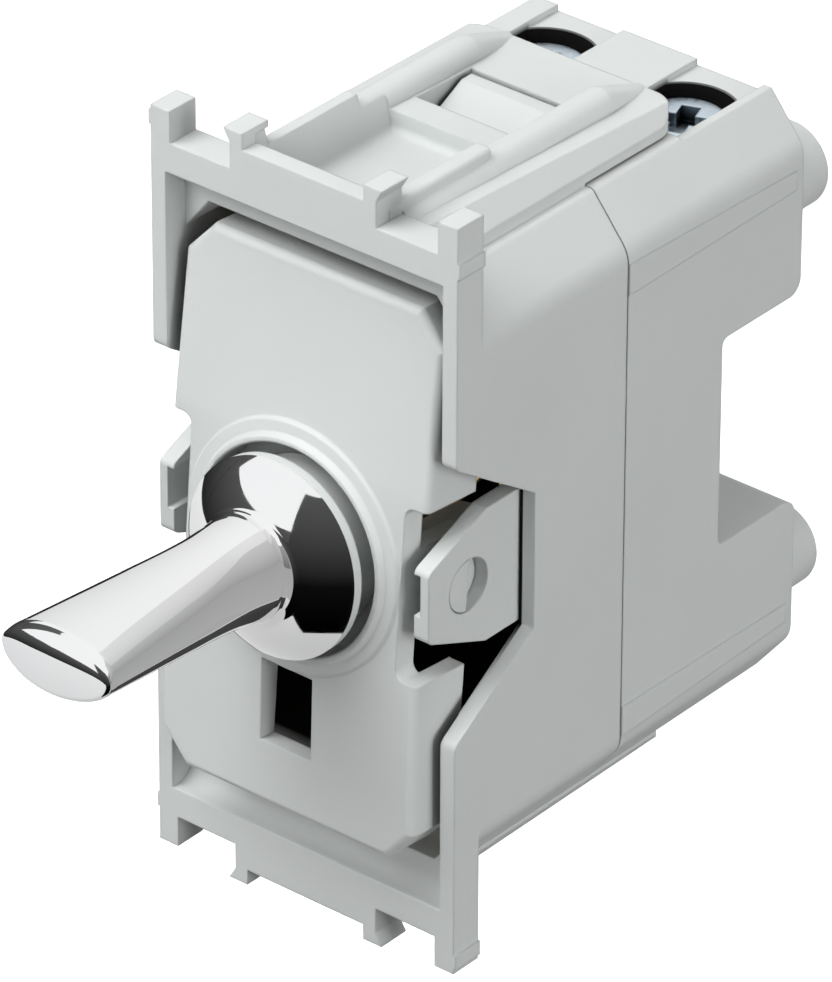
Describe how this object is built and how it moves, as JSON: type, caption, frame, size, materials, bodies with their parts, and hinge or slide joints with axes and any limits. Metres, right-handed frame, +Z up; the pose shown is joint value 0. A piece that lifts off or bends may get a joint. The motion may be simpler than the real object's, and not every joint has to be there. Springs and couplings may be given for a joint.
{
  "type": "intermediate wall switch",
  "caption": "Intermediate (crossover) wall switch with a chrome toggle lever on a tilting rocker plate, for clipping into a support frame.",
  "frame": {"origin": "centre of the mounting frame's front plane, mid-width and mid-height", "axes": "+X to the right as seen from the front, +Y from the front into the wall, +Z up"},
  "size_m": [0.0228, 0.0567, 0.0502],
  "materials": {
    "grey_plastic": "satin",
    "white_plastic": "satin",
    "chrome": "polished",
    "zinc_steel": "zinc plated",
    "brass": "rolled",
    "silver_contact": "satin"
  },
  "bodies": {
    "housing": {"front_shell": "grey_plastic", "rear_cover": "grey_plastic", "mechanism_base": "grey_plastic", "common_strip_left": "brass", "common_strip_right": "brass", "fixed_contacts_front": "silver_contact", "fixed_contacts_rear": "silver_contact", "link_strip_front": "brass", "link_strip_rear": "brass"},
    "rocker": {"rocker_plate": "grey_plastic", "lever_collet": "grey_plastic", "lever": "chrome", "lever_screw": "zinc_steel", "plunger_spring_left": "zinc_steel", "plunger_spring_right": "zinc_steel"},
    "plunger_body_left": {"plunger_left": "white_plastic"},
    "contact_body_left": {"contact_rocker_left": "brass", "moving_contacts_left": "silver_contact"},
    "screw_body_top_left": {"terminal_screw_top_left": "zinc_steel"},
    "cage_body_top_left": {"clamp_cage_top_left": "zinc_steel"},
    "screw_body_bottom_left": {"terminal_screw_bottom_left": "zinc_steel"},
    "cage_body_bottom_left": {"clamp_cage_bottom_left": "zinc_steel"},
    "plunger_body_right": {"plunger_right": "white_plastic"},
    "contact_body_right": {"contact_rocker_right": "brass", "moving_contacts_right": "silver_contact"},
    "screw_body_top_right": {"terminal_screw_top_right": "zinc_steel"},
    "cage_body_top_right": {"clamp_cage_top_right": "zinc_steel"},
    "screw_body_bottom_right": {"terminal_screw_bottom_right": "zinc_steel"},
    "cage_body_bottom_right": {"clamp_cage_bottom_right": "zinc_steel"}
  },
  "joints": [
    {"name": "rocker_tilt", "type": "hinge", "parent": "housing", "child": "rocker", "pos_m": [0, 0.0026, 0], "axis": [1, 0, 0], "range_deg": [0, 9.6]},
    {"name": "plunger_slide_left", "type": "slide", "parent": "rocker", "child": "plunger_body_left", "axis": [0, 0.9965, -0.0837], "range_m": [-0.0006, 0], "stiffness_N_per_m": 400, "springref_m": 0.004, "deforming": ["plunger_spring_left"]},
    {"name": "contact_tilt_left", "type": "hinge", "parent": "housing", "child": "contact_body_left", "pos_m": [-0.0044, 0.01335, 0], "axis": [1, 0, 0], "range_deg": [-9.6, 0]},
    {"name": "screw_turn_top_left", "type": "hinge", "parent": "housing", "child": "screw_body_top_left", "pos_m": [-0.0044, 0.02675, 0.0186], "axis": [0, 0, -1], "range_deg": [0, 720]},
    {"name": "cage_lift_top_left", "type": "slide", "parent": "housing", "child": "cage_body_top_left", "axis": [0, 0, 1], "range_m": [0, 0.0012]},
    {"name": "screw_turn_bottom_left", "type": "hinge", "parent": "housing", "child": "screw_body_bottom_left", "pos_m": [-0.0044, 0.02675, -0.0186], "axis": [0, 0, 1], "range_deg": [0, 720]},
    {"name": "cage_lift_bottom_left", "type": "slide", "parent": "housing", "child": "cage_body_bottom_left", "axis": [0, 0, -1], "range_m": [0, 0.0012]},
    {"name": "plunger_slide_right", "type": "slide", "parent": "rocker", "child": "plunger_body_right", "axis": [0, 0.9965, -0.0837], "range_m": [-0.0006, 0], "stiffness_N_per_m": 400, "springref_m": 0.004, "deforming": ["plunger_spring_right"]},
    {"name": "contact_tilt_right", "type": "hinge", "parent": "housing", "child": "contact_body_right", "pos_m": [0.006, 0.01335, 0], "axis": [1, 0, 0], "range_deg": [-9.6, 0]},
    {"name": "screw_turn_top_right", "type": "hinge", "parent": "housing", "child": "screw_body_top_right", "pos_m": [0.006, 0.02675, 0.0186], "axis": [0, 0, -1], "range_deg": [0, 720]},
    {"name": "cage_lift_top_right", "type": "slide", "parent": "housing", "child": "cage_body_top_right", "axis": [0, 0, 1], "range_m": [0, 0.0012]},
    {"name": "screw_turn_bottom_right", "type": "hinge", "parent": "housing", "child": "screw_body_bottom_right", "pos_m": [0.006, 0.02675, -0.0186], "axis": [0, 0, 1], "range_deg": [0, 720]},
    {"name": "cage_lift_bottom_right", "type": "slide", "parent": "housing", "child": "cage_body_bottom_right", "axis": [0, 0, -1], "range_m": [0, 0.0012]}
  ],
  "couplings": [
    {"joint": "contact_tilt_left", "follows": "rocker_tilt", "ratio": -1},
    {"joint": "screw_turn_top_left", "follows": "cage_lift_top_left", "rad_per_m": 10472},
    {"joint": "screw_turn_bottom_left", "follows": "cage_lift_bottom_left", "rad_per_m": 10472},
    {"joint": "contact_tilt_right", "follows": "rocker_tilt", "ratio": -1},
    {"joint": "screw_turn_top_right", "follows": "cage_lift_top_right", "rad_per_m": 10472},
    {"joint": "screw_turn_bottom_right", "follows": "cage_lift_bottom_right", "rad_per_m": 10472}
  ]
}
